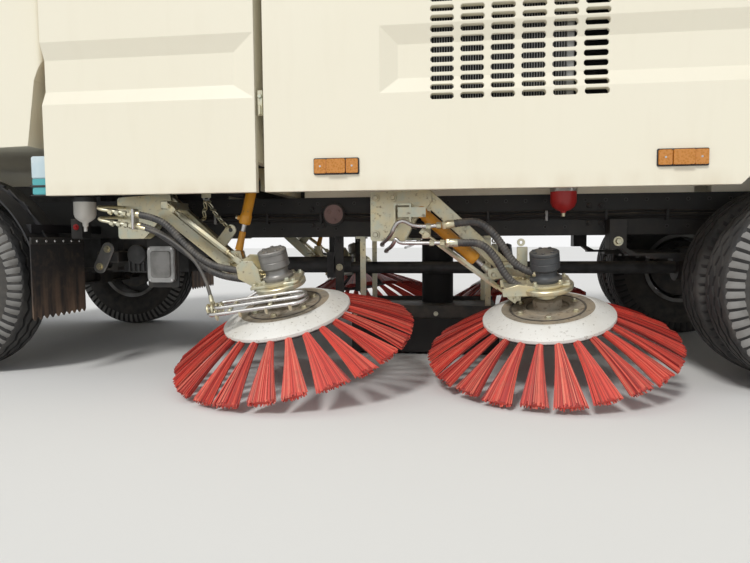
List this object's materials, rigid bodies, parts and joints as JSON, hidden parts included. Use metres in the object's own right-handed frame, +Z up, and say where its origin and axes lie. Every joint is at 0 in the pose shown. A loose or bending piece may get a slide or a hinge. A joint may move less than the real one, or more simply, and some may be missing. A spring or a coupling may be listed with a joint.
{
  "type": "street sweeper truck",
  "caption": "Cab-over street sweeper truck with four tilting disc brushes, slotted side doors, tipping hopper and tilt cab.",
  "frame": {"origin": "on the ground, at the middle of the length and width", "axes": "+X to the truck's rear, +Y to its right, +Z up"},
  "size_m": [7, 3.062, 2.8089],
  "materials": {
    "cream_paint": "gloss",
    "chassis_black": "satin",
    "axle_black": "matte",
    "zinc_steel": "satin",
    "motor_grey": "satin",
    "duct_steel": "satin",
    "tank_steel": "satin",
    "tyre_rubber": "matte",
    "rim_grey": "satin",
    "black_plastic": "matte",
    "cab_glass": "clear",
    "seat_fabric": "matte",
    "bristle_red": "matte",
    "ram_orange": "gloss",
    "chrome_rod": "polished",
    "lamp_lens": "gloss"
  },
  "bodies": {
    "chassis": {"chassis_frame": "chassis_black", "cross_members": "chassis_black", "front_axle": "axle_black", "rear_axle": "axle_black", "leaf_springs": "axle_black", "drive_line": "motor_grey", "front_bumper": "black_plastic", "rear_bumper": "chassis_black", "lamps": "lamp_lens", "mudguards": "black_plastic", "fuel_tank": "tank_steel", "battery_box": "black_plastic", "suction_nozzle": "duct_steel", "suction_duct": "black_plastic", "front_housing": "cream_paint", "water_tank": "tank_steel", "engine_housing": "cream_paint", "sweeper_engine": "motor_grey", "brush_brackets": "zinc_steel"},
    "steer_left": {"knuckle_left": "axle_black"},
    "steer_right": {"knuckle_right": "axle_black"},
    "wheel_front_left": {"front_tyre_left": "tyre_rubber", "front_rim_left": "rim_grey"},
    "wheel_front_right": {"front_tyre_right": "tyre_rubber", "front_rim_right": "rim_grey"},
    "wheels_rear_left": {"rear_tyres_left": "tyre_rubber", "rear_rims_left": "rim_grey"},
    "wheels_rear_right": {"rear_tyres_right": "tyre_rubber", "rear_rims_right": "rim_grey"},
    "cab": {"cab_shell": "cream_paint", "cab_glass": "cab_glass", "cab_interior": "seat_fabric", "mirrors": "black_plastic"},
    "door_left": {"cab_door_left": "cream_paint", "door_glass_left": "cab_glass"},
    "door_right": {"cab_door_right": "cream_paint", "door_glass_right": "cab_glass"},
    "vent_left": {"vent_door_left": "cream_paint"},
    "vent_right": {"vent_door_right": "cream_paint"},
    "hopper": {"hopper": "cream_paint"},
    "tailgate": {"tailgate": "cream_paint"},
    "tip_barrel": {"tip_barrel": "ram_orange"},
    "tip_rod": {"tip_rod": "chrome_rod"},
    "arm_front_left": {"brush_arm_front_left": "zinc_steel"},
    "brush_front_left": {"brush_front_left": "bristle_red"},
    "ram_barrel_front_left": {"brush_front_left_barrel": "ram_orange"},
    "ram_rod_front_left": {"brush_front_left_rod": "chrome_rod"},
    "arm_front_right": {"brush_arm_front_right": "zinc_steel"},
    "brush_front_right": {"brush_front_right": "bristle_red"},
    "ram_barrel_front_right": {"brush_front_right_barrel": "ram_orange"},
    "ram_rod_front_right": {"brush_front_right_rod": "chrome_rod"},
    "arm_rear_left": {"brush_arm_rear_left": "zinc_steel"},
    "brush_rear_left": {"brush_rear_left": "bristle_red"},
    "ram_barrel_rear_left": {"brush_rear_left_barrel": "ram_orange"},
    "ram_rod_rear_left": {"brush_rear_left_rod": "chrome_rod"},
    "arm_rear_right": {"brush_arm_rear_right": "zinc_steel"},
    "brush_rear_right": {"brush_rear_right": "bristle_red"},
    "ram_barrel_rear_right": {"brush_rear_right_barrel": "ram_orange"},
    "ram_rod_rear_right": {"brush_rear_right_rod": "chrome_rod"}
  },
  "joints": [
    {"name": "steer_left", "type": "hinge", "parent": "chassis", "child": "steer_left", "pos_m": [-2.35, -0.74, 0.43], "axis": [0, 0, 1], "range_deg": [-32, 32]},
    {"name": "steer_right", "type": "hinge", "parent": "chassis", "child": "steer_right", "pos_m": [-2.35, 0.74, 0.43], "axis": [0, 0, 1], "range_deg": [-32, 32]},
    {"name": "roll_front_left", "type": "hinge", "parent": "steer_left", "child": "wheel_front_left", "pos_m": [-2.35, -0.88, 0.43], "axis": [0, 1, 0], "continuous": true},
    {"name": "roll_front_right", "type": "hinge", "parent": "steer_right", "child": "wheel_front_right", "pos_m": [-2.35, 0.88, 0.43], "axis": [0, 1, 0], "continuous": true},
    {"name": "roll_rear_left", "type": "hinge", "parent": "chassis", "child": "wheels_rear_left", "pos_m": [1.55, -0.84, 0.43], "axis": [0, 1, 0], "continuous": true},
    {"name": "roll_rear_right", "type": "hinge", "parent": "chassis", "child": "wheels_rear_right", "pos_m": [1.55, 0.84, 0.43], "axis": [0, 1, 0], "continuous": true},
    {"name": "cab_tilt", "type": "hinge", "parent": "chassis", "child": "cab", "pos_m": [-3.43, 0, 0.69], "axis": [0, -1, 0], "range_deg": [0, 45]},
    {"name": "door_left_swing", "type": "hinge", "parent": "cab", "child": "door_left", "pos_m": [-3.273, -1.029, 1.2], "axis": [0, 0, -1], "range_deg": [0, 70]},
    {"name": "door_right_swing", "type": "hinge", "parent": "cab", "child": "door_right", "pos_m": [-3.273, 1.029, 1.2], "axis": [0, 0, 1], "range_deg": [0, 70]},
    {"name": "vent_left_lift", "type": "hinge", "parent": "chassis", "child": "vent_left", "pos_m": [0.27, -1.108, 2.053], "axis": [-1, 0, 0], "range_deg": [0, 80]},
    {"name": "vent_right_lift", "type": "hinge", "parent": "chassis", "child": "vent_right", "pos_m": [0.27, 1.108, 2.053], "axis": [1, 0, 0], "range_deg": [0, 80]},
    {"name": "hopper_tip", "type": "hinge", "parent": "chassis", "child": "hopper", "pos_m": [3.25, 0, 0.9], "axis": [0, 1, 0], "range_deg": [0, 50]},
    {"name": "tailgate_lift", "type": "hinge", "parent": "hopper", "child": "tailgate", "pos_m": [3.395, 0, 2.794], "axis": [0, -1, 0], "range_deg": [0, 80]},
    {"name": "tip_barrel_swing", "type": "hinge", "parent": "chassis", "child": "tip_barrel", "pos_m": [3.11, 0, 0.645], "axis": [0, 1, 0], "range_deg": [-0.2, 24.65]},
    {"name": "tip_rod_slide", "type": "slide", "parent": "tip_barrel", "child": "tip_rod", "axis": [-0.48, 0, 0.8773], "range_m": [-0.001, 0.17999]},
    {"name": "lift_front_left", "type": "hinge", "parent": "chassis", "child": "arm_front_left", "pos_m": [-1.3, -0.76, 0.83], "axis": [0, -1, 0], "range_deg": [0, 10]},
    {"name": "spin_front_left", "type": "hinge", "parent": "arm_front_left", "child": "brush_front_left", "pos_m": [-0.64, -1.06, 0.342], "axis": [-0.1509, -0.2559, 0.9549], "continuous": true},
    {"name": "ram_swing_front_left", "type": "hinge", "parent": "chassis", "child": "ram_barrel_front_left", "pos_m": [-0.83, -0.86, 0.93], "axis": [0, -1, 0], "range_deg": [-0.2, 4.61]},
    {"name": "ram_slide_front_left", "type": "slide", "parent": "ram_barrel_front_left", "child": "ram_rod_front_left", "axis": [-0.2364, 0, -0.9717], "range_m": [-0.07792, 0.001]},
    {"name": "lift_front_right", "type": "hinge", "parent": "chassis", "child": "arm_front_right", "pos_m": [-1.3, 0.76, 0.83], "axis": [0, -1, 0], "range_deg": [0, 10]},
    {"name": "spin_front_right", "type": "hinge", "parent": "arm_front_right", "child": "brush_front_right", "pos_m": [-0.64, 1.06, 0.342], "axis": [-0.1509, 0.2559, 0.9549], "continuous": true},
    {"name": "ram_swing_front_right", "type": "hinge", "parent": "chassis", "child": "ram_barrel_front_right", "pos_m": [-0.83, 0.86, 0.93], "axis": [0, -1, 0], "range_deg": [-0.2, 4.61]},
    {"name": "ram_slide_front_right", "type": "slide", "parent": "ram_barrel_front_right", "child": "ram_rod_front_right", "axis": [-0.2364, 0, -0.9717], "range_m": [-0.07792, 0.001]},
    {"name": "lift_rear_left", "type": "hinge", "parent": "chassis", "child": "arm_rear_left", "pos_m": [-0.06, -0.72, 0.835], "axis": [0, -1, 0], "range_deg": [0, 10]},
    {"name": "spin_rear_left", "type": "hinge", "parent": "arm_rear_left", "child": "brush_rear_left", "pos_m": [0.47, -0.95, 0.326], "axis": [-0.1014, -0.2404, 0.9654], "continuous": true},
    {"name": "ram_swing_rear_left", "type": "hinge", "parent": "chassis", "child": "ram_barrel_rear_left", "pos_m": [-0.07, -0.8, 0.75], "axis": [0, -1, 0], "range_deg": [-0.2, 11.16]},
    {"name": "ram_slide_rear_left", "type": "slide", "parent": "ram_barrel_rear_left", "child": "ram_rod_rear_left", "axis": [0.7502, 0, -0.6612], "range_m": [-0.001, 0.01402]},
    {"name": "lift_rear_right", "type": "hinge", "parent": "chassis", "child": "arm_rear_right", "pos_m": [-0.06, 0.72, 0.835], "axis": [0, -1, 0], "range_deg": [0, 10]},
    {"name": "spin_rear_right", "type": "hinge", "parent": "arm_rear_right", "child": "brush_rear_right", "pos_m": [0.47, 0.95, 0.326], "axis": [-0.1014, 0.2404, 0.9654], "continuous": true},
    {"name": "ram_swing_rear_right", "type": "hinge", "parent": "chassis", "child": "ram_barrel_rear_right", "pos_m": [-0.07, 0.8, 0.75], "axis": [0, -1, 0], "range_deg": [-0.2, 11.16]},
    {"name": "ram_slide_rear_right", "type": "slide", "parent": "ram_barrel_rear_right", "child": "ram_rod_rear_right", "axis": [0.7502, 0, -0.6612], "range_m": [-0.001, 0.01402]}
  ],
  "couplings": [
    {"joint": "steer_right", "follows": "steer_left", "ratio": 1},
    {"joint": "tip_barrel_swing", "follows": "hopper_tip", "ratio": 0.489},
    {"joint": "tip_rod_slide", "follows": "hopper_tip", "m_per_rad": 0.20511},
    {"joint": "ram_swing_front_left", "follows": "lift_front_left", "ratio": 0.44131},
    {"joint": "ram_slide_front_left", "follows": "lift_front_left", "m_per_rad": -0.44071},
    {"joint": "ram_swing_front_right", "follows": "lift_front_right", "ratio": 0.44131},
    {"joint": "ram_slide_front_right", "follows": "lift_front_right", "m_per_rad": -0.44071},
    {"joint": "ram_swing_rear_left", "follows": "lift_rear_left", "ratio": 1.0963},
    {"joint": "ram_slide_rear_left", "follows": "lift_rear_left", "m_per_rad": 0.07462},
    {"joint": "ram_swing_rear_right", "follows": "lift_rear_right", "ratio": 1.0963},
    {"joint": "ram_slide_rear_right", "follows": "lift_rear_right", "m_per_rad": 0.07462}
  ]
}
